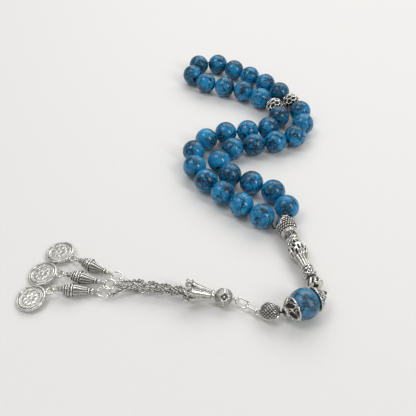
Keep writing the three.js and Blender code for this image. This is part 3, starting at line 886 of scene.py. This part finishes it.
def chain_route(number, end_eye, way):
    """A chain's way from the pin's inner eye, round the two others, to the eye that holds its jump ring."""
    eye = head_centre / MM + head_axis * PIN_INNER
    length = np.linalg.norm(CHAIN_RUN)
    start = CHAIN_RUN / length
    side = np.cross((0, 0, 1), start)
    side /= np.linalg.norm(side)
    route = []
    for share in np.linspace(0, 1, 13):
        angle = 2 * math.pi * (CHAIN_TURNS * share + (number - 1) / 3 + CHAIN_PHASE)
        radius = CHAIN_SPREAD[0] + (CHAIN_SPREAD[1] - CHAIN_SPREAD[0]) * share
        centre = eye + start * (CHAIN_START + share * (length - CHAIN_START))
        route.append(centre + radius * (side * math.cos(angle) + np.array((0, 0, 1)) * math.sin(angle)))
    route.append(end_eye - way * (END_EYE_RADIUS - 0.1))
    return route


still = Matrix.Identity(4)
for number in (1, 2, 3):
    hook = joint_of[f"jump_ring_{number}"]
    way = ring_way(hook)
    slack = END_EYE_RADIUS - END_EYE_WIRE - RING_WIRE - RING_PLAY
    end_eye = np.array(hook["pos_m"]) / MM - way * slack
    marks = smooth_path(chain_route(number, end_eye, way), CHAIN_PITCH)
    twist = np.array((0, 0, 1.0))
    parts = []
    for i, (start, end) in enumerate(zip(marks, marks[1:])):
        along = (end - start) / np.linalg.norm(end - start)
        twist = twist - along * np.dot(twist, along)
        face = twist / np.linalg.norm(twist)
        face = np.cross(along, face) if i % 2 else face
        turn = np.array(lay_at((0, 0, 0), along, face).to_3x3())
        middle = (start + end) / 2
        loop = ring_path(CHAIN_LINK_RADIUS, straight=CHAIN_LINK_STRAIGHT, steps=20) @ turn.T + middle
        ring = wire(loop, CHAIN_WIRE, 8, closed=True)
        # The inner side of each link is painted dark: painted shade where the neighbouring links pass through
        # it.
        inner = np.linalg.norm(ring[0] - middle, axis=1) < CHAIN_LINK_RADIUS
        parts.append((*ring, inner * 0.85 + 0.28))
    turn = np.array(lay_at((0, 0, 0), way, np.cross((0, 0, 1), way)).to_3x3())
    parts.append(wire(ring_path(END_EYE_RADIUS, steps=28) @ turn.T + end_eye, END_EYE_WIRE, 10, closed=True))
    chain = together(*parts)
    piece(f"chain_{number}_links", still, *chain[:2], bright_wire, "antique_silver", "chains",
          [f"chain_{number}"], chain[2])

# ---------------------------------------------------------------------------------------------------------
# The jump rings: plain round silver wire, one between each chain and its bell. Each is bent round and closed
# with a fine butt joint.

BUTT_GAP = 0.02
BUTT_TURN = 1.1

turn = np.linspace(BUTT_GAP, 2 * math.pi - BUTT_GAP, 60) + BUTT_TURN
ring_line = np.stack([RING_RADIUS * np.cos(turn), RING_RADIUS * np.sin(turn), 0 * turn], axis=1)
jump_ring = wire(ring_line, RING_WIRE, 16)
for number in (1, 2, 3):
    hook = joint_of[f"jump_ring_{number}"]
    way = ring_way(hook)
    lay = lay_at(np.array(hook["pos_m"]) + way * RING_RADIUS * MM, way, (0, 0, 1))
    piece(f"jump_ring_{number}_wire", lay, *jump_ring, bright_wire, "antique_silver", f"jump_ring_{number}",
          [f"jump_ring_{number}"])

# ---------------------------------------------------------------------------------------------------------
# The bells: solid silver pendants cast with an eye at each end. A knob and a fluted taper lead to the widest
# band, and ribbed steps close in behind it.

BELL_LENGTH = 12.6
BELL_TOP_REACH = 1.0
BELL_TOP_EYE = 0.85
BELL_BASE_EYE = 1.4
BELL_EYE_WIRE = 0.275
BELL_BASE_REACH = BELL_LENGTH + BELL_BASE_EYE + 0.15
BELL_OUTLINE = [
    (0, 0.35), (0, 0.8), (0.2, 1.05), (0.6, 1.15), (1.0, 1.05), (1.3, 0.85), (1.5, 0.8), (1.65, 1.1),
    (2.0, 1.2), (2.2, 1.05), (3.5, 1.35), (5.5, 1.85), (7.1, 2.15), (7.3, 2.1), (7.4, 2.45), (7.6, 2.55),
    (7.9, 2.5), (8.1, 2.35), (8.2, 2.0), (8.4, 1.95), (8.55, 2.2), (9.1, 2.2), (9.3, 1.85), (9.45, 1.8),
    (9.6, 2.0), (10.0, 1.9), (10.15, 1.6), (10.3, 1.55), (10.45, 1.75), (10.9, 1.65), (11.05, 1.3),
    (11.3, 1.1), (11.6, 0.85), (11.8, 0.9), (12.1, 1.1), (12.4, 1.0), (BELL_LENGTH, 0.7), (BELL_LENGTH, 0.3),
]
BELL_FLUTES = 11
STEP_BEADS = 20
BELL_GROOVES = (1.28, 2.15, 7.16, 8.18, 9.26, 10.14, 11.0)
GROOVE_WIDTH = 0.24


def bell_relief(x, angle, radius):
    turns = angle / (2 * math.pi)
    taper = band(x, 2.4, 7.0, 0.2)
    flute = np.abs(np.sin(math.pi * turns * BELL_FLUTES))
    steps = band(x, 8.5, 10.9, 0.1)
    beads = np.abs(np.sin(math.pi * turns * STEP_BEADS))
    grooves = sum(band(x, low, low + GROOVE_WIDTH, 0.05) for low in BELL_GROOVES)
    height = taper * (flute * 0.22 - 0.14) + steps * (beads * 0.1 - 0.06)
    shade = taper * (1.0 - flute * 1.3) + steps * (0.5 - beads * 0.7) + grooves
    shade = shade + 0.15 + step_up(11, 11.5, x) * 0.3
    return height, shade


bell_body = turned(BELL_OUTLINE, 0.14, 88, bell_relief, closed=False)
bell = together(
    bell_body,
    wire(ring_path(BELL_TOP_EYE, (-BELL_TOP_REACH, 0, 0), upright=True), BELL_EYE_WIRE, 12, closed=True),
    wire(ring_path(BELL_BASE_EYE, (BELL_BASE_REACH, 0, 0), upright=True), BELL_EYE_WIRE, 12, closed=True),
)
for number in (1, 2, 3):
    name = f"bell_{number}"
    hook = joint_of[name]
    along = pointing(main_axes(corners_of(name))[1][0], ring_way(hook))
    slack = BELL_TOP_EYE - BELL_EYE_WIRE - RING_WIRE - RING_PLAY
    tip = np.array(hook["pos_m"]) + along * (slack + BELL_TOP_REACH) * MM
    lay = lay_at(tip, along, (0, 0, 1))
    piece(name + "_cast", lay, *bell[:2], silver, "antique_silver", name, [name], bell[2])

# ---------------------------------------------------------------------------------------------------------
# The medallions: struck silver discs, each with a bail that the bell's lower eye holds. Within a broad rim
# and a thin one lie a ring of grains and a plain flower. The back is flat.

COIN_RADIUS = 5.4
COIN_HALF = 0.6
BAIL_REACH = 6.9
BAIL_RADIUS = 1.3
BAIL_WIRE = 0.4
GRAINS = 40
FLOWER_PETALS = 8
FACE_SINK = 0.3
COIN_EDGE = [(5.4, 0.35), (5.4, 0.0), (5.4, -0.4), (5.33, -0.55), (5.2, -COIN_HALF), (3.0, -COIN_HALF),
             (0.02, -COIN_HALF)]


def struck(distance, angle):
    """The height of the medallion's face and its shade, by the distance from the middle."""
    turns = angle / (2 * math.pi)
    rim = step_up(4.6, 4.75, distance) * (1 - 0.6 * step_up(5.1, 5.4, distance))
    ring = hump(distance - 4.15, 0.24)
    grains = hump(np.hypot((turns * GRAINS) % 1 - 0.5, (distance - 3.6) / 0.5), 0.45)
    across_petal = (turns * FLOWER_PETALS) % 1 - 0.5
    across_leaf = (turns * FLOWER_PETALS + 0.5) % 1 - 0.5
    petals = hump(np.hypot(across_petal * distance * 0.5, (distance - 2.0) * 0.62), 0.62)
    leaves = hump(np.hypot(across_leaf * distance * 0.8, (distance - 2.65) * 1.1), 0.42)
    boss = hump(distance, 0.75) + hump(np.hypot((turns * 6) % 1 - 0.5, (distance - 1.1) * 1.2), 0.4) * 0.5
    device = np.maximum(np.maximum(petals * 0.9, leaves * 0.8), np.minimum(boss, 1))
    height = rim * 0.3 + ring * 0.2 + grains * 0.1 + device * 0.17
    groove = hump(distance - 4.5, 0.16)
    shade = 0.42 + groove * 0.3 - rim - ring * 0.7 - grains * 0.35 - device * 0.4
    return height - FACE_SINK, shade


def medallion():
    """The disc, with its struck face up and its middle at the origin."""
    columns = 168
    angle = np.linspace(0, 2 * math.pi, columns, endpoint=False)[None, :]
    face = np.concatenate([np.linspace(0.02, 5.1, 62), [5.25, 5.35]])[:, None]
    height, shade = struck(face, angle)
    edge = np.array(COIN_EDGE)
    radius = np.concatenate([face + 0 * angle, edge[:, :1] + 0 * angle])
    z = np.concatenate([COIN_HALF + height, edge[:, 1:] + 0 * angle])
    shade = np.concatenate([shade, np.full((len(edge), columns), 0.25)])
    points = np.stack([radius * np.cos(angle), radius * np.sin(angle), z], axis=-1)
    faces = grid_faces(len(radius), columns).tolist() + end_faces(len(radius), columns)
    return points, [face[::-1] for face in faces], shade


coin_finish = antique_silver("struck_silver", 0.27)
coin = together(medallion(), wire(ring_path(BAIL_RADIUS, (BAIL_REACH, 0, 0)), BAIL_WIRE, 14, closed=True))
for number in (1, 2, 3):
    name = f"coin_{number}"
    corners = corners_of(name)
    hook = joint_of[name]
    normal = pointing(main_axes(corners)[1][2], (0, 0, 1))
    towards_bail = np.cross(np.array(hook["axis"]), normal)
    turn = np.array(lay_at((0, 0, 0), towards_bail, normal).to_3x3())
    low, high = (corners @ turn).min(0), (corners @ turn).max(0)
    middle = (low[0] + COIN_RADIUS * MM, (low[1] + high[1]) / 2, low[2] + COIN_HALF * MM)
    lay = lay_at(turn @ middle, towards_bail, normal)
    piece(name + "_struck", lay, *coin[:2], coin_finish, "antique_silver", name, [name], coin[2])
